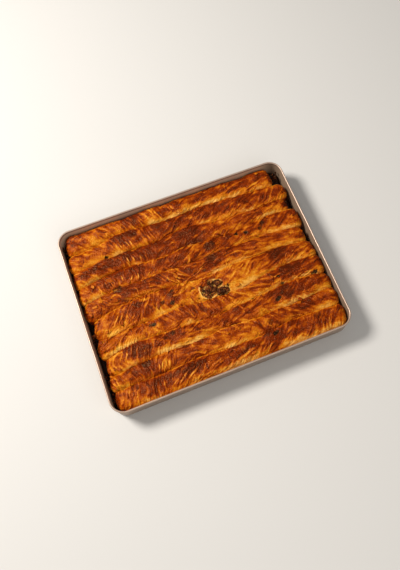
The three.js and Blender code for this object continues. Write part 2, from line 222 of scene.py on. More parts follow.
def lattice(column, row, seed):
    """A fixed number from 0 to 1 for each whole-numbered place."""
    mask = 0xFFFFFFFF
    code = (column.astype(np.int64) * 374761393 + row.astype(np.int64) * 668265263 + seed * 9973) & mask
    code = ((code ^ (code >> 13)) * 1274126177) & mask
    return ((code ^ (code >> 16)) & 0xFFFF) / 65536.0


def noise(x, y, seed):
    """Smooth gradient noise, about -1 to 1, with features one unit across."""
    column, row = np.floor(x), np.floor(y)
    fx, fy = x - column, y - row
    sx, sy = (f * f * f * (f * (f * 6 - 15) + 10) for f in (fx, fy))
    corners = []
    for dy in (0, 1):
        for dx in (0, 1):
            turn = 2 * math.pi * lattice(column + dx, row + dy, seed)
            corners.append(np.cos(turn) * (fx - dx) + np.sin(turn) * (fy - dy))
    low = corners[0] + sx * (corners[1] - corners[0])
    high = corners[2] + sx * (corners[3] - corners[2])
    return 1.5 * (low + sy * (high - low))


def layered_noise(x, y, seed, octaves=3):
    """Noise with layers added that are each half as large and half as strong."""
    total = sum(noise(x * 2**i, y * 2**i, seed + i) / 2**i for i in range(octaves))
    return total / sum(1 / 2**i for i in range(octaves))


def nearness(x, y, at_x, at_y, half_length, half_width):
    """1 at a place, falling softly to 0 away from it."""
    return np.exp(-(((x - at_x) / half_length) ** 2) - ((y - at_y) / half_width) ** 2)


def strongest(x, y, places, least):
    """The strongest of some soft places: x, y, half length, half width, strength."""
    total = np.full_like(x, least)
    for *place_and_size, strength in places:
        total = np.maximum(total, strength * nearness(x, y, *place_and_size))
    return total


FIELD_HALF = (210, 175)
FIELD_STEP = 2.0
FIBRE_REACH = (26, 11)  # how far one direction holds, along and across the rolls


def fibre_field():
    """Unit vectors along the wrinkles on a grid of places."""
    steps = [np.arange(-half, half + 1, FIELD_STEP) for half in FIELD_HALF]
    x, y = np.meshgrid(*steps, indexing="ij")
    cosine, sine = np.zeros_like(x), np.zeros_like(x)
    for at_x, at_y, direction in FIBRES:
        near = nearness(x, y, at_x, at_y, *FIBRE_REACH) + 1e-9
        cosine += near * math.cos(2 * math.radians(direction))
        sine += near * math.sin(2 * math.radians(direction))
    turn = np.arctan2(sine, cosine) / 2 + 0.45 * noise(x / 23, y / 13, 13)
    return np.cos(turn), np.sin(turn)


FIELD = fibre_field()


def heading(x, y):
    """The unit vector along the wrinkles at each place."""
    column, row = (
        np.clip(np.rint((value + half) / FIELD_STEP).astype(int), 0, int(2 * half / FIELD_STEP))
        for value, half in zip((x, y), FIELD_HALF)
    )
    return FIELD[0][column, row], FIELD[1][column, row]


def streaks(x, y, length, width, seed, steps):
    """Noise drawn out along the wrinkles to `length` either way, about -1 to 1."""
    total, power = noise(x / width, y / width, seed), 1.0
    for way in (-1, 1):
        at_x, at_y = x, y
        last_x, last_y = (way * part for part in heading(x, y))
        for step in range(1, steps + 1):
            at_x = at_x + last_x * length / steps
            at_y = at_y + last_y * length / steps
            next_x, next_y = heading(at_x, at_y)
            flip = np.where(next_x * last_x + next_y * last_y < 0, -1, 1)
            last_x, last_y = next_x * flip, next_y * flip
            weight = 1 - step / (steps + 1)
            total = total + weight * noise(at_x / width, at_y / width, seed)
            power += weight**2
    return total / math.sqrt(power)


def smoothstep(low, high, value):
    share = np.clip((value - low) / (high - low), 0, 1)
    return share * share * (3 - 2 * share)


# ---- Meshes ----

def mesh_object(name, points, faces, material, attributes):
    """A smooth object from points in millimetres and faces as lists of corners."""
    mesh = bpy.data.meshes.new(name)
    mesh.from_pydata(points * MM, [], faces, shade_flat=False)
    mesh.validate()
    mesh.materials.append(material)
    for key, values in attributes.items():
        layer = mesh.attributes.new(key, "FLOAT", "POINT")
        layer.data.foreach_set("value", np.asarray(values, np.float32).ravel())
    made = bpy.data.objects.new(name, mesh)
    bpy.context.collection.objects.link(made)
    return made


def tube_object(name, points, order, material, attributes):
    """A closed object from a grid of points whose second direction closes on itself.

    An order of -1 turns its faces over.
    """
    size = points.shape[1]
    index = np.arange(points[..., 0].size).reshape(-1, size)
    beside = np.roll(index, -1, 1)
    quads = np.stack([index[:-1], beside[:-1], beside[1:], index[1:]], -1).reshape(-1, 4)
    ends = [index[0, ::-order], index[-1, ::order]]
    faces = quads[:, ::order].tolist() + [end.tolist() for end in ends]
    return mesh_object(name, points.reshape(-1, 3), faces, material, attributes)


def grid_normals(points):
    """Unit normals of such a grid of points."""
    along = np.gradient(points, axis=0)
    around = np.roll(points, -1, 1) - np.roll(points, 1, 1)
    normal = np.cross(around, along)
    return normal / np.maximum(np.linalg.norm(normal, axis=-1, keepdims=True), 1e-9)


def place(piece, slot, *nodes):
    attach(piece, BODY)
    if nodes:
        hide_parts(*nodes)


# ---- Materials ----

class Nodes:
    """A short way to write a material's node tree."""

    def __init__(self, name):
        self.material = bpy.data.materials.new(name)
        self.material.use_nodes = True
        self.tree = self.material.node_tree
        self.shader = self.tree.nodes["Principled BSDF"]

    def add(self, kind, inputs=None, **settings):
        node = self.tree.nodes.new(kind)
        for key, value in settings.items():
            setattr(node, key, value)
        for key, value in (inputs or {}).items():
            self.set(node, key, value)
        return node

    def set(self, node, key, value):
        if isinstance(value, bpy.types.NodeSocket):
            self.tree.links.new(value, node.inputs[key])
        else:
            node.inputs[key].default_value = value

    def made(self, **inputs):
        """The material, once its shader's inputs are set; an underscore stands for a space."""
        for key, value in inputs.items():
            self.set(self.shader, key.replace("_", " "), value)
        return self.material

    def attribute(self, name):
        return self.add("ShaderNodeAttribute", attribute_name=name).outputs["Fac"]

    def noise(self, scale, detail, roughness, stretch=None):
        """Noise with about `scale` features in a metre."""
        where = self.add("ShaderNodeTexCoord").outputs["Object"]
        if stretch:
            where = self.add("ShaderNodeMapping", {"Vector": where, "Scale": stretch}).outputs[0]
        inputs = {"Vector": where, "Scale": scale, "Detail": detail, "Roughness": roughness}
        return self.add("ShaderNodeTexNoise", inputs).outputs["Fac"]

    def math(self, operation, *values, clamp=False):
        inputs = dict(enumerate(values))
        return self.add("ShaderNodeMath", inputs, operation=operation, use_clamp=clamp).outputs[0]

    def centred(self, factor, size):
        """A 0 to 1 value made to swing round 0."""
        return self.math("MULTIPLY", self.math("SUBTRACT", factor, 0.5), size)

    def ramp(self, factor, stops):
        node = self.add("ShaderNodeValToRGB", {"Fac": factor})
        elements = node.color_ramp.elements
        while len(elements) < len(stops):
            elements.new(0.5)
        for element, (place_at, colour) in zip(elements, stops):
            element.position = place_at
            element.color = colour
        return node.outputs["Color"]

    def mix(self, factor, first, second):
        """One colour by `factor` over another; 6, 7 and 2 are the node's colour sockets."""
        inputs = {0: factor, 6: first, 7: second}
        return self.add("ShaderNodeMix", inputs, data_type="RGBA").outputs[2]

    def bump(self, height, distance, strength, normal=None):
        inputs = {"Height": height, "Distance": distance, "Strength": strength}
        if normal:
            inputs["Normal"] = normal
        return self.add("ShaderNodeBump", inputs).outputs["Normal"]


def srgb(red, green, blue):
    """A colour given as 0 to 255 on screen, as the linear one that shaders take."""
    linear = [v / 12.92 if v <= 0.04045 else ((v + 0.055) / 1.055) ** 2.4
              for v in (red / 255, green / 255, blue / 255)]
    return (*linear, 1)


# Colours against how browned the crust is, and how pale a crumb of mince is.
CRUST = [
    (0.0, srgb(242, 198, 104)), (0.2, srgb(222, 155, 48)), (0.4, srgb(197, 113, 14)),
    (0.6, srgb(163, 71, 3)), (0.8, srgb(118, 36, 0)), (1.0, srgb(72, 18, 0)),
]
PALE_DOUGH = srgb(240, 188, 100)
SCORCHED = srgb(34, 13, 4)
MEAT_COLOURS = [
    (0.0, srgb(30, 12, 5)), (0.4, srgb(74, 30, 10)), (0.75, srgb(128, 62, 22)),
    (1.0, srgb(190, 120, 50)),
]


def pastry_material():
    n = Nodes("baked_pastry")
    fine = n.noise(420, 4, 0.6)
    grain = n.noise(1500, 3, 0.6)
    wobble = n.math("ADD", n.centred(fine, 0.4), n.centred(grain, 0.16))
    bake = n.math("ADD", n.attribute("bake"), wobble, clamp=True)
    colour = n.mix(n.attribute("pale"), n.ramp(bake, CRUST), PALE_DOUGH)
    rough = n.add("ShaderNodeMapRange", {"Value": fine, "To Min": 0.14, "To Max": 0.42})
    return n.made(
        Base_Color=n.mix(n.attribute("scorch"), colour, SCORCHED),
        Roughness=rough.outputs[0],
        Specular_IOR_Level=0.2,
        Specular_Tint=srgb(255, 210, 150),
        Normal=n.bump(grain, 0.0004, 0.7, n.bump(fine, 0.0011, 0.8)),
    )


def pan_material():
    n = Nodes("pan_aluminium")
    haze = n.noise(28, 4, 0.6)
    brushed = n.noise(700, 3, 0.6, stretch=(0.06, 1, 1))
    # Painted light: the same aluminium is darker outside, as painted shade and a painted reflection of
    # dark surroundings, and lighter and warmer inside, as painted light and a painted reflection of the
    # pastry.
    outside = n.mix(haze, srgb(148, 127, 111), srgb(170, 149, 132))
    inside = n.mix(haze, srgb(212, 180, 148), srgb(226, 196, 164))
    clean = n.mix(n.attribute("inside"), outside, inside)
    # The polished rim gets a set colour, lighter than the outside wall, as a painted highlight; its
    # lower roughness is the polish itself.
    clean = n.mix(n.attribute("polish_and_highlight"), clean, srgb(180, 155, 136))
    # The foot of the inner wall is darkened by baked-on grease and painted shade, the east wall by a
    # painted reflection of the roll ends.
    stain_and_shade = n.math("MULTIPLY", n.attribute("stain_and_shade"), 1.0, clamp=True)
    greased = n.math("MULTIPLY", n.attribute("inside"), 0.5)
    matt = n.math("MAXIMUM", greased, n.math("MULTIPLY", stain_and_shade, 0.5))
    rough = n.math("ADD", n.math("MULTIPLY", haze, 0.16), n.math("MULTIPLY", brushed, 0.14))
    worn = n.math("MULTIPLY", n.attribute("polish_and_highlight"), -0.14)
    return n.made(
        Base_Color=n.mix(stain_and_shade, clean, srgb(58, 32, 18)),
        Metallic=n.math("SUBTRACT", 0.6, matt),
        Roughness=n.math("ADD", n.math("ADD", rough, 0.4), worn),
        Normal=n.bump(brushed, 0.00012, 0.35),
    )


def meat_material():
    n = Nodes("minced_meat")
    mottle = n.noise(520, 4, 0.65)
    tone = n.math("ADD", n.attribute("tone"), n.centred(mottle, 0.5), clamp=True)
    return n.made(
        Base_Color=n.ramp(tone, MEAT_COLOURS),
        Roughness=n.math("ADD", n.math("MULTIPLY", mottle, 0.3), 0.32),
        Specular_IOR_Level=0.25,
        Specular_Tint=srgb(255, 215, 160),
        Normal=n.bump(mottle, 0.0006, 0.6),
    )


def floor_material():
    return Nodes("studio_floor").made(Base_Color=srgb(206, 203, 198), Roughness=0.85)


PASTRY = pastry_material()
PAN_METAL = pan_material()
MEAT = meat_material()


# ---- Pan ----

def rounded_outline(inset):
    """The rim's outline moved inwards, counter-clockwise, as x and y."""
    radius = RIM_CORNER_RADIUS - inset
    centre = PAN_HALF - RIM_CORNER_RADIUS
    points = []
    for quarter, signs in enumerate([(1, 1), (-1, 1), (-1, -1), (1, -1)]):
        turn = (quarter + np.linspace(0, 1, CORNER_STEPS + 1)) * math.pi / 2
        points.append(signs * centre + radius * np.stack([np.cos(turn), np.sin(turn)], -1))
    sides = []
    for here, after in zip(points, points[1:] + points[:1]):
        share = np.linspace(0, 1, SIDE_STEPS + 1)[1:-1, None]
        sides.append(here[-1] * (1 - share) + after[0] * share)
    return np.concatenate([part for pair in zip(points, sides) for part in pair])


def arc(inset, z, radius, start, end, steps):
    """Points of a wall's section as inset and z; angle 0 points out of the pan."""
    turn = np.linspace(start, end, steps + 1)
    return np.stack([inset - radius * np.cos(turn), z + radius * np.sin(turn)], -1)


def pan_section():
    """The wall's section as inset and z, from the floor's outside over the bead to its inside."""
    quarter = math.pi / 2
    bend = BEAD_RADIUS + WALL_FLARE - SHEET / 2 + FLOOR_BEND_RADIUS
    bead_start = -math.acos(SHEET / 2 / BEAD_RADIUS)
    bead = arc(BEAD_RADIUS, PAN_HEIGHT - BEAD_RADIUS, BEAD_RADIUS, bead_start, math.pi - bead_start, 20)
    outer = arc(bend, FLOOR_BEND_RADIUS, FLOOR_BEND_RADIUS, -quarter, 0, 7)
    inner = arc(bend, FLOOR_BEND_RADIUS, FLOOR_BEND_RADIUS - SHEET, 0, -quarter, 7)
    rise = np.linspace(0, 1, 12)[1:-1, None]
    outer_wall = outer[-1] * (1 - rise) + bead[0] * rise
    inner_wall = bead[-1] * (1 - rise) + inner[0] * rise
    return np.concatenate([outer, outer_wall, bead]), np.concatenate([inner_wall, inner])


def pan_wear_and_painted_light(x, y, z, inside):
    """Baking juice's stain with painted shade at the wall's foot, a painted reflection on the east
    wall, and the polished rim with a painted highlight.
    """
    edge = STAIN_AND_SHADE_TOP + 7 * layered_noise((x + y) / 9, (x - y) / 9, 31)
    juices_and_shade = smoothstep(edge + 6, edge - 3, z)
    rim = smoothstep(PAN_HEIGHT - 2.4 * BEAD_RADIUS, PAN_HEIGHT - BEAD_RADIUS, z)
    # Painted reflection: the east wall is darkened as if mirroring the dark roll ends.
    east_reflection = EAST_PAINTED_REFLECTION * smoothstep(165, 190, x) * (1 - 0.6 * rim)
    return {"stain_and_shade": np.maximum(juices_and_shade, east_reflection) * inside, "polish_and_highlight": rim, "inside": inside}


def make_pan():
    outside, inside = pan_section()
    section = np.concatenate([outside, inside])
    points = np.array([np.insert(rounded_outline(inset), 2, z, axis=1) for inset, z in section])
    x, y, z = np.moveaxis(points, -1, 0)
    dented = DENT * layered_noise(x / 70, y / 70, 71, 2) * smoothstep(8, PAN_HEIGHT, z)
    outwards = points[..., :2] / np.linalg.norm(points[..., :2], axis=-1, keepdims=True)
    points[..., :2] += outwards * dented[..., None]
    x, y, z = np.moveaxis(points, -1, 0)
    is_inside = np.zeros_like(x)
    is_inside[len(outside):] = 1
    pan = tube_object("baking_pan", points, 1, PAN_METAL, pan_wear_and_painted_light(x, y, z, is_inside))
    place(pan, "pan", "pan")


# ---- Rolls ----

def smooth_through(known, values, wanted):
    """Values at `wanted` on a smooth curve through the known ones."""
    slopes = np.gradient(values, known)
    index = np.clip(np.searchsorted(known, wanted) - 1, 0, len(known) - 2)
    span = known[index + 1] - known[index]
    t = (wanted - known[index]) / span
    return (
        (2 * t**3 - 3 * t**2 + 1) * values[index]
        + (t**3 - 2 * t**2 + t) * (slopes[index] * span)
        + (3 * t**2 - 2 * t**3) * values[index + 1]
        + (t**3 - t**2) * (slopes[index + 1] * span)
    )


MARK_LOW, MARK_HIGH = (np.array(corner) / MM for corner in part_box("meat_mark"))
MARK_MIDDLE = (MARK_LOW + MARK_HIGH) / 2
LOW_EDGE_Z = 9.0  # every whole section of a roll reaches lower than this
LEAST_CORNERS = 6  # and has at least this many corners


def roll_stations(node):
    """The CAD roll's section at each of its stations: x, both sides, crown, grooves, underside."""
    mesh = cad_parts[node].data
    points = np.empty(len(mesh.vertices) * 3, np.float32)
    mesh.vertices.foreach_get("co", points)
    points = points.reshape(-1, 3) / MM
    stations = []
    for x in np.unique(np.round(points[:, 0], 2)):
        ring = points[np.abs(points[:, 0] - x) < 0.02]
        corners = np.unique(np.round(ring[:, 1:], 1), axis=0)
        if len(corners) < LEAST_CORNERS or ring[:, 2].min() > LOW_EDGE_Z:
            continue
        south, north = ring[:, 1].min(), ring[:, 1].max()
        north_z = ring[ring[:, 1] > north - 0.05, 2].max()
        south_z = ring[ring[:, 1] < south + 0.05, 2].max()
        cut = MARK_LOW[0] - 1 < x < MARK_HIGH[0] + 1 and south < MARK_HIGH[1] and north > MARK_LOW[1]
        tops = [math.nan] * 3 if cut else [ring[:, 2].max(), south_z, north_z]
        stations.append([x, south, north, *tops, ring[:, 2].min()])
    stations = np.array(stations)
    for column in stations.T[3:6]:
        known = ~np.isnan(column)
        column[:] = np.interp(stations[:, 0], stations[known, 0], column[known])
    return stations


def seam_wander(index, x):
    """How far a seam strays sideways over short lengths, in mm."""
    if index in (0, ROLL_COUNT):
        return np.zeros_like(x)
    return SEAM_WANDER * layered_noise(x / 17, np.full_like(x, index * 9.3), 3)


def rounded(turn, exponent):
    """Places round a soft-cornered section: sideways from -1 to 1, and rising from 0 to 1."""
    sideways = np.sign(np.cos(turn)) * np.abs(np.cos(turn)) ** (2 / exponent)
    return sideways, np.abs(np.sin(turn)) ** (2 / exponent)


def closed_end(ring, outwards):
    """Smaller and smaller rings over a roll's end, and the x at which each reads the crust."""
    centre = ring.mean(0)
    rings, places = [], []
    for share in CAP_SHARES:
        bulge = outwards * CAP_BULGE * math.sqrt(1 - share * share)
        rings.append(centre + (ring - centre) * share + np.array([bulge, 0, 0]))
        places.append(ring[:, 0] + outwards * (1 - share) * CAP_REACH)
    return rings, places


def roll_grid(number):
    """The smooth form of a roll as a grid of points, with what its crust is read from.

    That is the x along it, its crosswise place from -1 to 1, and its crown's height.
    """
    known = roll_stations(f"roll_{number:02d}")
    x = np.linspace(known[0, 0], known[-1, 0], STATIONS)
    south, north, crown, south_z, north_z, low = (
        smooth_through(known[:, 0], known[:, column], x)[:, None] for column in range(1, 7)
    )
    north = north + seam_wander(number - 1, x)[:, None]
    south = south + seam_wander(number, x)[:, None]
    middle, half = (north + south) / 2, (north - south) / 2 + TOUCH
    over, rise = rounded(np.linspace(0, math.pi, TOP_STEPS), CROWN_EXPONENT)
    under, fall = rounded(np.linspace(math.pi, 2 * math.pi, UNDER_STEPS + 2)[1:-1], UNDERSIDE_EXPONENT)
    top_z = crown - (crown - np.where(over > 0, north_z, south_z)) * (1 - rise)
    under_edge = south_z + (north_z - south_z) * (under + 1) / 2
    under_z = under_edge - (under_edge - low) * fall
    across = np.concatenate([over, under])
    y = middle + half * across
    z = np.concatenate([top_z, under_z], 1)
    points = np.stack([np.broadcast_to(x[:, None], y.shape), y, z], -1)
    west, west_x = closed_end(points[0], -1)
    east, east_x = closed_end(points[-1], 1)
    along = np.array([*west_x[::-1], *points[..., 0], *east_x])
    points = np.array([*west[::-1], *points, *east])
    across = np.broadcast_to(across, along.shape)
    crown = np.pad(crown, ((len(west), len(east)), (0, 0)), "edge")
    return points, along, across, crown


def fibre_direction(x, y):
    """The direction of the wrinkles at one place, in degrees."""
    step_x, step_y = heading(np.array(x), np.array(y))
    return math.degrees(math.atan2(step_y, step_x))


# Marks drawn on a roll: count, half length, half width, height in mm, browner (+) or paler (-)
# on the mark, the same beside it on one side as painted shading: shade by pale marks, light by dark
# ones.
MARKS = {
    "crease": (30, (3, 8), (0.5, 0.8), (0.3, 0.8), (-0.3, -0.1), (0.05, 0.18)),
    "brown": (36, (3, 12), (0.6, 1.4), (0.05, 0.4), (0.08, 0.28), (-0.06, 0)),
    "golden": (20, (4, 14), (0.8, 1.6), (0.1, 0.5), (-0.22, -0.05), (0, 0.1)),
    "slit": (14, (2, 9), (0.4, 0.8), (-0.9, -0.4), (0.15, 0.4), (-0.1, 0)),
}
MARK_REACH = 190  # half the length of a roll that gets marks
CROSSING_SHARE = 0.25  # of the marks lie across the wrinkles


def roll_marks(south, north, rng):
    """One roll's marks: x, y, direction, half length, half width, height, tone, tone beside it on one
    side as painted shading.
    """
    marks = []
    for x, y, direction, length, width, tone in STROKES:
        if south < y < north:
            rise = 0.4 if tone < 0 else -0.25
            tone *= 0.72 if width < 1 else 0.6
            # The last value is painted shading beside the stroke: shade beside golden strokes, light
            # beside brown ones.
            marks.append((x, y, direction, length, width, rise, tone, -0.4 * tone))
    for count, *ranges in MARKS.values():
        for _ in range(count):
            x, y = rng.uniform(-MARK_REACH, MARK_REACH), rng.uniform(south + 1, north)
            direction = fibre_direction(x, y) + rng.normal(0, 14)
            if rng.random() < CROSSING_SHARE:
                direction += rng.choice([-1, 1]) * rng.uniform(40, 90)
            marks.append((x, y, direction, *(rng.uniform(low, high) for low, high in ranges)))
    return marks


def draw_marks(along, side, marks, rng):
    """The height of all the marks, in mm, and how much browner they make the crust, with painted
    shading on one side of each.
    """
    height = np.zeros_like(along)
    tone = np.zeros_like(along)
    row_x = along[:, 0]
    for x, y, direction, length, width, rise, on, beside in marks:
        rows = np.abs(row_x - x) < length + 2
        bend = rng.normal(0, 0.25 / length)
        wave, phase = rng.uniform(0.2, 0.6), rng.uniform(0, 6.28)
        turn = math.radians(direction)
        dx, dy = along[rows] - x, side[rows] - y
        ahead = dx * math.cos(turn) + dy * math.sin(turn)
        aside = dy * math.cos(turn) - dx * math.sin(turn) - bend * ahead * ahead
        aside += 0.25 * min(width, 1) * np.sin(wave * ahead + phase)
        taper = np.clip(1 - (ahead / length) ** 2, 0, 1)
        ridge = taper * np.exp(-((aside / width) ** 2))
        band = taper * smoothstep(1.3, 0.7, np.abs(aside) / width)
        lee = taper * smoothstep(2.6, 1.0, -aside / width) * (aside < -0.9 * width)
        if rise > 0:
            height[rows] = np.maximum(height[rows], rise * ridge)
        else:
            height[rows] += rise * ridge
        # Painted shading on one side of each mark: shade beside the pale marks, light beside the dark
        # ones.
        tone[rows] += (on * band + beside * lee) * (1 - 0.5 * np.abs(tone[rows]))
    return height, tone


def along_seam(stretches, x, usual):
    """A value that changes along a roll as its stretches say."""
    total = np.full_like(x, usual)
    for at_x, half_length, strength in stretches:
        total += strength * np.exp(-(((x - at_x) / half_length) ** 2) * 1.2)
    return total


# The clusters of mince in the torn hole: x, y, half length, half width, lumps.
MINCE = [
    (13, -11.5, 6.5, 4.5, 17), (23, -16, 4.5, 5, 12), (1.5, -24.5, 9.5, 8.5, 36),
    (25, -30.5, 10.5, 6, 30), (12, -22, 5, 7, 14), (-5, -14, 1, 1, 1), (35, -24.5, 1.5, 1, 2),
]
# The lip of torn dough round the hole's lower left, and the slits under it: x and y.
LIP = [(-9.5, -13), (-11, -19), (-10, -27), (-5, -32.5), (4, -35), (12, -34), (17, -31.5)]
SLITS = [[(-17, -28.5), (-14.5, -30)], [(-10, -33.5), (-3, -36.5)], [(24, -38), (33, -36.5)]]


def torn_hole(x, y):
    """1 where the top sheet is torn open round the mince, 0 on whole pastry."""
    near = np.zeros_like(x)
    for at_x, at_y, half_length, half_width, count in MINCE:
        reach = np.hypot((x - at_x) / (half_length + 2.2), (y - at_y) / (half_width + 2.2))
        near = np.maximum(near, (count > 2) * (1.25 - reach))
    near = near + 0.12 * layered_noise(x / 4, y / 3, 66)
    return smoothstep(0.2, 0.42, near)


def line_distance(x, y, line):
    """The distance of each place from a line of straight pieces."""
    nearest = np.full_like(x, 1e3)
    for (ax, ay), (bx, by) in zip(line, line[1:]):
        dx, dy = bx - ax, by - ay
        share = np.clip(((x - ax) * dx + (y - ay) * dy) / (dx * dx + dy * dy), 0, 1)
        nearest = np.minimum(nearest, np.hypot(x - ax - share * dx, y - ay - share * dy))
    return nearest


def torn_lip(x, y):
    away = line_distance(x, y + 0.8 * noise(x / 4, y / 4, 67), LIP)
    return np.exp(-((away / (0.9 + 0.35 * noise(x / 5, y / 5, 68))) ** 2))


def torn_slit(x, y):
    away = np.min([line_distance(x, y, line) for line in SLITS], axis=0)
    return np.exp(-((away / 0.8) ** 2))


STREAK_SIZES = [(20, 4.6), (12, 2.4), (8, 1.6)]


class Grain:
    """The flow of wrinkles over one roll's crust, which its height and its colours share.

    x runs along the roll and y across it, over its surface.
    """

    def __init__(self, x, y, seed):
        self.x, self.y = x, y
        self.bent_x = x + 1.5 * noise(x / 13, y / 11, 15)
        self.bent_y = y + 1.2 * noise(x / 12, y / 9, 16)
        self.broad, self.middle, self.thin = (
            streaks(self.bent_x, self.bent_y, length, width, seed + step, 4 + step)
            for step, (length, width) in enumerate(STREAK_SIZES, 1)
        )
        self.calm = smoothstep(-0.5, 0.5, noise(x / 30, y / 18, 6))
        smooth = strongest(x, y, [(*place_at, 1) for place_at in SMOOTH], 0)
        self.lively = (0.45 + 0.75 * self.calm) * (1 - 0.75 * smooth)
        self.gathers, self.wrinkles = (
            np.clip(1 - 1.2 * np.abs(flow), 0, 1) for flow in (self.broad, self.middle)
        )
        self.crinkle = layered_noise(self.bent_x / 4.5, self.bent_y / 2.8, 52)
        # Sheets of dough that end in crisp, uneven edges.
        sheet = 1.3 * noise(self.bent_x / 40, self.bent_y / 14, seed + 4) + 0.4 * self.broad
        self.sheet_step = sheet - np.floor(sheet)
        self.edge = np.exp(-(((self.sheet_step - 0.07) / 0.06) ** 2))


def crust_height(grain, mark_height):
    """How far the crust stands out from the roll's smooth form, in mm."""
    x, y = grain.x, grain.y
    swell = 1.0 * noise(x / 38, y / 15, 1) + 0.6 * noise(x / 14, y / 9, 2)
    folds = (1.3 * grain.gathers**2 + 1.0 * grain.wrinkles**2 + 0.3 * grain.thin) * grain.lively
    sheets = 0.7 * smoothstep(0.0, 0.06, grain.sheet_step) * (1 - grain.sheet_step)
    fine = layered_noise(x / 2.2, y / 1.8, 51)
    return swell + folds + sheets + 0.15 * fine + 0.3 * grain.crinkle + mark_height


def scorched_spots(grain):
    """How scorched the crust is at the burnt spots, and how far it sinks there in mm."""
    x, y = grain.x, grain.y
    scorch = np.zeros_like(x)
    sunk = np.zeros_like(x)
    for at_x, at_y, radius, strength, depth in SCORCHES:
        warp = radius * layered_noise(x / radius, y / radius, 61)
        reach = np.hypot((x - at_x) / 1.25 + 0.5 * warp, y - at_y + 0.7 * warp) / (1.2 * radius)
        spot = np.clip(1 - reach**2, 0, 1)
        burnt = strength * smoothstep(0, 0.5, spot * (1 + 0.5 * grain.middle))
        scorch = np.maximum(scorch, burnt)
        sunk += depth * spot
    return scorch, sunk


def small_blisters(x, y):
    """Small dark blisters, 0 to 1, thickest in their own places."""
    share = strongest(x, y, SPECKLES, 0.06)
    specks = layered_noise(x / 3.6, y / 2.8, 91)
    specks += 0.35 * layered_noise(x / 14, y / 9, 92)
    return smoothstep(0.42, 0.6, specks + 0.28 * (share - 0.5)) * smoothstep(0.05, 0.3, share)


def golden_flank(grain, across, number):
    """How golden the side that faces the next seam is, and how much of the crust is browned top."""
    x, y = grain.x, grain.y
    ragged = 0.22 * layered_noise(grain.bent_x / 9, grain.bent_y / 6, 18)
    ragged += 0.2 * noise(x / 34, y / 40, 19)
    golden = np.clip(along_seam(FLANKS[number - 1], x, 0.5), 0, 1.2)
    flank = smoothstep(-0.1, -0.88, across + ragged + 0.15 * grain.broad) * golden
    top = np.clip(1 - flank, 0, 1) * smoothstep(1.02, 0.78, across + 0.3 * ragged)
    return flank, top


def browned_patches(grain, top, number):
    """How brown the crust is over lengths of a centimetre and more."""
    x, y = grain.x, grain.y
    wander = 9 * layered_noise(x / 26, y / 14, 14)
    patch = along_seam(BROWNING[number - 1], x + wander, 0)
    bake = 0.27 + 0.43 * top + (0.08 + 0.22 * top) * patch
    blots = layered_noise(grain.bent_x / 15, grain.bent_y / 9, 81, 2)
    bake += (0.3 * blots + 0.2 * grain.broad) * (0.3 + 0.7 * top)
    return 0.47 * bake + 0.53 * (0.3 + 0.6 * smoothstep(0.34, 0.9, bake))


def either_way(low, high, value):
    """A smooth step up for positive values and down for negative ones."""
    return smoothstep(low, high, value) - smoothstep(low, high, -value)


def wrinkle_browning_and_painted_light(grain, across, top, upper):
    """How much browner the wrinkles are, with painted shade darkening the seams in patches and a
    painted highlight paling the sheets' edges.
    """
    x, y = grain.x, grain.y
    strokes = either_way(0.15, 0.6, grain.middle)
    bunched = 0.3 + 0.7 * smoothstep(-0.3, 0.5, noise(x / 12, y / 8, 21))
    threads = either_way(0.15, 0.5, grain.thin) * bunched
    drawn = 0.03 * grain.broad + 0.06 * strokes + 0.08 * threads
    folded = 0.08 * (grain.wrinkles**2 - 0.4) + 0.06 * (grain.gathers**2 - 0.4)
    broken_seam_shade = smoothstep(-0.1, 0.3, layered_noise(x / 24, y / 40, 83, 2))
    bake = (drawn * (0.4 + 0.6 * top) + folded) * grain.lively
    bake += 0.05 * grain.crinkle * (0.6 + 0.4 * top)
    # Painted highlight: the crisp edges of the sheets are made paler.
    bake -= 0.1 * grain.edge * (0.3 + 0.7 * top) * grain.calm
    # Painted shade darkens the seams between the rolls, in patches.
    return bake + 0.4 * smoothstep(0.9, 0.98, np.abs(across)) * broken_seam_shade * upper


def relief(points, along, across, crown, number, rng):
    """Height of a roll's surface detail in mm, and the values its material reads."""
    drop = np.maximum(crown - points[..., 2] - 3, 0)
    side = points[..., 1] + np.sign(across) * drop
    upper = smoothstep(14, 26, points[..., 2])
    grain = Grain(along, side, 50 * number)
    marks = roll_marks(side[:, TOP_STEPS - 1].mean(), side[:, 0].mean(), rng)
    mark_height, mark_tone_and_shading = draw_marks(0.6 * along + 0.4 * grain.bent_x, side, marks, rng)
    scorch, sunk = scorched_spots(grain)
    height = upper * crust_height(grain, mark_height) - sunk
    scorch = np.maximum(scorch, 0.5 * small_blisters(along, side) * upper)

    flank, top = golden_flank(grain, across, number)
    bake = browned_patches(grain, top, number)
    bake += wrinkle_browning_and_painted_light(grain, across, top, upper)
    browned = smoothstep(0.25, 0.7, bake)
    bake += np.where(mark_tone_and_shading < 0, 0.25 + 0.95 * browned, 0.5 + 0.5 * top) * mark_tone_and_shading
    creased = 0.4 * smoothstep(0.2, 0.6, -mark_tone_and_shading) * browned
    doughy = flank + 0.3 * layered_noise(along / 7, side / 5, 87)
    pale = np.maximum(creased, 0.6 * smoothstep(0.55, 1.15, doughy))

    torn, lip, slit = (shape(along, side) for shape in (torn_hole, torn_lip, torn_slit))
    height = height * (1 - 0.6 * torn) + 1.5 * lip - 1.2 * slit
    pale = np.maximum(pale * (1 - torn), np.maximum(0.75 * torn, 0.9 * lip))
    bake = bake * (1 - 0.5 * np.maximum(torn, lip))
    scorch = np.maximum(scorch * (1 - torn), 0.85 * slit)
    return height, {"bake": np.clip(bake, 0, 1), "pale": pale, "scorch": scorch}


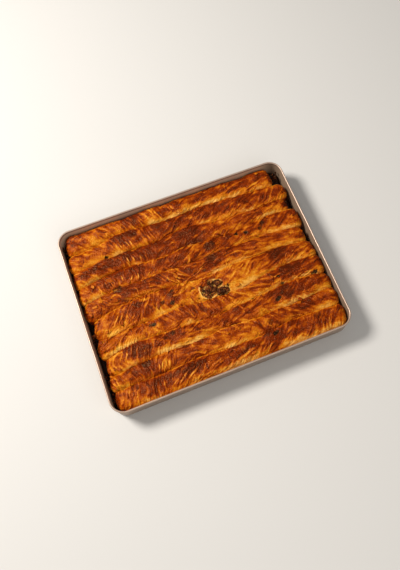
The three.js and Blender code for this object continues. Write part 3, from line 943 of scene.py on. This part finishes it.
def dip(points):
    """The pastry dips round the meat mark, most in the torn hole itself."""
    reach = (points[..., :2] - MARK_MIDDLE[:2]) / ((MARK_HIGH - MARK_LOW)[:2] * 0.62)
    broad = 2.0 * np.exp(-2.2 * (reach**2).sum(-1))
    torn = 1.6 * torn_hole(points[..., 0], points[..., 1])
    return (broad + torn) * smoothstep(20, 30, points[..., 2])


def within_pan(points):
    """Points moved in from the pan's wall where the surface detail has pushed them into it."""
    rise = np.clip(points[..., 2] / PAN_HEIGHT, 0, 1)
    inset = BEAD_RADIUS + SHEET / 2 + WALL_FLARE * (1 - rise) + WALL_CLEARANCE
    centre = PAN_HALF - RIM_CORNER_RADIUS
    out = np.maximum(np.abs(points[..., :2]) - centre, 0)
    reach = np.maximum(np.hypot(out[..., 0], out[..., 1]), 1e-6)
    share = np.minimum((RIM_CORNER_RADIUS - inset) / reach, 1)[..., None]
    inner = np.minimum(np.abs(points[..., :2]), centre) + out * share
    kept = points.copy()
    kept[..., :2] = np.sign(points[..., :2]) * inner
    return kept


def make_roll(number):
    rng = np.random.default_rng(100 + number)
    points, along, across, crown = roll_grid(number)
    height, attributes = relief(points, along, across, crown, number, rng)
    points = points + grid_normals(points) * height[..., None]
    points[..., 2] -= dip(points)
    points = within_pan(points)
    roll = tube_object(f"pastry_roll_{number:02d}", points, -1, PASTRY, attributes)
    place(roll, "pastry", f"roll_{number:02d}")
    return points


# ---- Meat mark ----

def lump_template(subdivisions):
    """Points and faces of a small round lump."""
    ball = bmesh.new()
    bmesh.ops.create_icosphere(ball, subdivisions=subdivisions, radius=1)
    points = np.array([v.co for v in ball.verts])
    faces = np.array([[v.index for v in f.verts] for f in ball.faces])
    ball.free()
    return points, faces


def make_lumps(name, lumps, subdivisions, rng):
    """Uneven crumbs of meat or crust in one mesh, each given as its centre, radius and tone."""
    shape, faces = lump_template(subdivisions)
    x, y, z = shape.T
    points, corners, values = [], [], []
    for index, (centre, radius, tone) in enumerate(lumps):
        a, b = rng.uniform(0, 100, 2)
        rough = 1 + 0.55 * noise(1.4 * x + a, 1.4 * y + 0.9 * z + b, 7)
        rough += 0.4 * noise(1.7 * z - b, 1.7 * x - 0.8 * y + a, 8)
        rough += 0.16 * layered_noise(4.5 * x + 2.2 * z + b, 4.5 * y - 2.4 * z + a, 9)
        stretch = rng.uniform((0.8, 0.65, 0.55), (1.5, 1.1, 0.95))
        turn = Euler((*rng.uniform(-0.6, 0.6, 2), rng.uniform(0, 2 * math.pi))).to_matrix()
        points.append((shape * rough[:, None] * stretch * radius) @ np.array(turn).T + centre)
        corners.append(faces + index * len(shape))
        # Painted shade and light: each lump is darker in its hollows and paler on its bumps.
        values.append(tone + 0.35 * (rough - 1))
    points, corners, values = (np.concatenate(part) for part in (points, corners, values))
    return mesh_object(name, points, corners.tolist(), MEAT, {"tone": values})


def make_mark(surface_height):
    rng = np.random.default_rng(7)
    lumps = []
    for x, y, half_length, half_width, count in MINCE:
        for _ in range(count):
            turn, reach = rng.uniform(0, 2 * math.pi), math.sqrt(rng.uniform(0, 1))
            at_x = x + half_length * reach * math.cos(turn)
            at_y = y + half_width * reach * math.sin(turn)
            radius = rng.uniform(1.5, 3.0) * (1 if count > 2 else 0.7)
            heap = min(2.4, half_width * 0.35) * (1 - reach**2) * rng.uniform(0.2, 1)
            centre = (at_x, at_y, surface_height(at_x, at_y) + heap + 0.35 * radius)
            tone = rng.choice([0.12, 0.3, 0.5, 0.78], p=[0.34, 0.36, 0.2, 0.1])
            lumps.append((centre, radius, tone + rng.normal(0, 0.05)))
    place(make_lumps("minced_meat", lumps, 3, rng), "meat", "meat_mark")


# ---- Crumbs and flakes ----

# Burnt crumbs caught between the rolls' ends and the pan: x, y, spread in x and y, count.
CRUMB_PLACES = [
    (186, 138, 3, 8, 14), (186, 84, 3, 7, 12), (-194, -27, 1.5, 6, 8), (-192, -96, 2.5, 8, 14),
    (-193, -124, 2.5, 8, 12), (-193, 122, 2, 8, 8), (-195, 60, 1.5, 12, 6), (-194, 20, 1.5, 10, 6),
    (193, -20, 1, 20, 6), (193, -90, 1, 30, 6), (0, -152, 90, 1, 8),
]
CRUMB_LIMITS = ((-194.5, -142), (194.5, 142))
BIG_CRUMB = ((-190.5, -24, 24), 4.6, 0.55)


def scattered(places, low, high, rng):
    """Chance places round each of some middles: x, y, spread in x and y, count."""
    for *middle, spread_x, spread_y, count in places:
        for _ in range(count):
            yield np.clip(middle + rng.normal(0, (spread_x, spread_y)), low, high).tolist()


def make_crumbs():
    rng = np.random.default_rng(12)
    lumps = [BIG_CRUMB]
    for x, y in scattered(CRUMB_PLACES, *CRUMB_LIMITS, rng):
        radius = rng.uniform(0.7, 2.3)
        lumps.append(((x, y, rng.uniform(10, 26)), radius, rng.uniform(0, 0.5)))
    place(make_lumps("burnt_crumbs", lumps, 2, rng), "meat")


# Places with loose flakes of crust: x, y, spread in x and y, count.
FLAKE_PLACES = [
    (-30, -4, 14, 8, 9), (-36, 24, 10, 6, 6), (-172, -36, 14, 8, 8), (-176, -98, 10, 8, 6),
    (-165, 20, 20, 10, 8), (0, 0, 120, 90, 24), (10, -98, 10, 8, 4), (-150, 52, 10, 6, 4),
]
FLAKE_LIMITS = ((-185, -145), (185, 148))
FLAKE_GRID = (9, 5)


def flake_shape(rng, length, width):
    """A thin curled scrap of crust, as two grids of points round its middle."""
    u, v = np.meshgrid(*(np.linspace(-1, 1, count) for count in FLAKE_GRID), indexing="ij")
    offset = rng.uniform(0, 50)
    ragged = 1 + 0.6 * layered_noise(u * 1.6 + offset, v * 1.6, 19)
    round_off = 1 - 0.25 * (u * v) ** 2
    x, y = u * length * ragged * round_off, v * width * ragged * round_off
    curl, roll_up = rng.uniform(-0.02, 0.05), rng.uniform(-0.03, 0.06)
    z = curl * x**2 / 1.5 + roll_up * y**2 + 0.25 * noise(x / 1.6 + offset, y / 1.6, 20)
    thick = 0.14 * (1 - 0.6 * np.maximum(np.abs(u), np.abs(v)) ** 4)
    return np.stack([x, y, z + thick], -1), np.stack([x, y, z - thick], -1)


def flake_faces():
    """Faces of a flake's two grids of points, joined at their rims."""
    index = np.arange(math.prod(FLAKE_GRID)).reshape(FLAKE_GRID)
    here, right, beyond, left = index[:-1, :-1], index[1:, :-1], index[1:, 1:], index[:-1, 1:]
    top = np.stack([here, right, beyond, left], -1).reshape(-1, 4)
    rim = np.concatenate([index[:-1, 0], index[-1, :-1], index[:0:-1, -1], index[0, :0:-1]])
    after = np.roll(rim, -1)
    side = np.stack([rim, rim + index.size, after + index.size, after], -1)
    return np.concatenate([top, top[:, ::-1] + index.size, side])


def make_flakes():
    rng = np.random.default_rng(33)
    faces = flake_faces()
    points, quads, bakes = [], [], []
    for x, y in scattered(FLAKE_PLACES, *FLAKE_LIMITS, rng):
        top, under = flake_shape(rng, rng.uniform(2.5, 5.5), rng.uniform(1.4, 3.0))
        shape = np.concatenate([top.reshape(-1, 3), under.reshape(-1, 3)])
        direction = math.radians(fibre_direction(x, y) + rng.normal(0, 25))
        tilt = rng.normal(0, 0.12, 2).tolist()
        turn = np.array(Euler((*tilt, direction)).to_matrix())
        quads.append(faces + sum(map(len, points)))
        points.append(shape @ turn.T + (x, y, surface_height(x, y) + 0.1))
        bakes.append(np.full(len(shape), rng.uniform(0.45, 0.85)))
    points, quads, bakes = (np.concatenate(part) for part in (points, quads, bakes))
    place(mesh_object("loose_flakes", points, quads.tolist(), PASTRY, {"bake": bakes}), "pastry")


# ---- Stage ----

def make_floor():
    corners = 6000 * np.array([[-1, -1, 0], [1, -1, 0], [1, 1, 0], [-1, 1, 0]])
    floor = mesh_object("studio_floor", corners, [[0, 1, 2, 3]], floor_material(), {})


LIT_PLACE = Vector((0, 0, 0.02))


def area_light(name, place_at, size, watts, colour):
    data = bpy.data.lights.new(name, "AREA")
    data.shape = "DISK"
    data.size = size
    data.energy = watts
    data.color = colour
    light = bpy.data.objects.new(name, data)
    light.location = place_at
    light.rotation_euler = (LIT_PLACE - light.location).to_track_quat("-Z", "Y").to_euler()
    bpy.context.collection.objects.link(light)


def make_lights():
    area_light("key", (-1.05, 0.75, 1.45), 0.6, 48, (1, 0.97, 0.93))
    area_light("fill", (0.3, -1.2, 1.3), 1.4, 8, (1, 0.98, 0.96))
    world = bpy.data.worlds.new("studio")
    world.use_nodes = True
    background = world.node_tree.nodes["Background"]
    background.inputs["Color"].default_value = (1, 0.985, 0.965, 1)
    background.inputs["Strength"].default_value = 0.3
    bpy.context.scene.world = world


def make_camera():
    data = bpy.data.cameras.new("camera")
    data.lens = 44.21
    data.sensor_width = 36
    data.shift_x = -0.0789
    data.shift_y = -0.0754
    camera = bpy.data.objects.new("camera", data)
    camera.location = (-0.1038, -0.3964, 1.0984)
    camera.rotation_euler = [math.radians(v) for v in (23.951, -0.909, -22.092)]
    bpy.context.collection.objects.link(camera)
    bpy.context.scene.camera = camera


def height_lookup(surfaces):
    """A function that gives the pastry's height at x and y, from cells a millimetre across."""
    heights = np.full((2 * PAN_HALF).astype(int) + 1, -1.0)
    for points in surfaces:
        top = points[:, :TOP_STEPS].reshape(-1, 3)
        column, row = (top[:, :2] + PAN_HALF).astype(int).T
        np.maximum.at(heights, (column, row), top[:, 2])

    def height(x, y):
        column, row = (np.array([x, y]) + PAN_HALF).astype(int)
        return float(heights[column - 1:column + 2, row - 1:row + 2].max())

    return height


make_camera()
make_pan()
surfaces = [make_roll(number) for number in range(1, ROLL_COUNT + 1)]
surface_height = height_lookup(surfaces)
make_mark(surface_height)
make_crumbs()
make_flakes()
make_floor()
make_lights()
bpy.context.scene.view_settings.view_transform = "Standard"
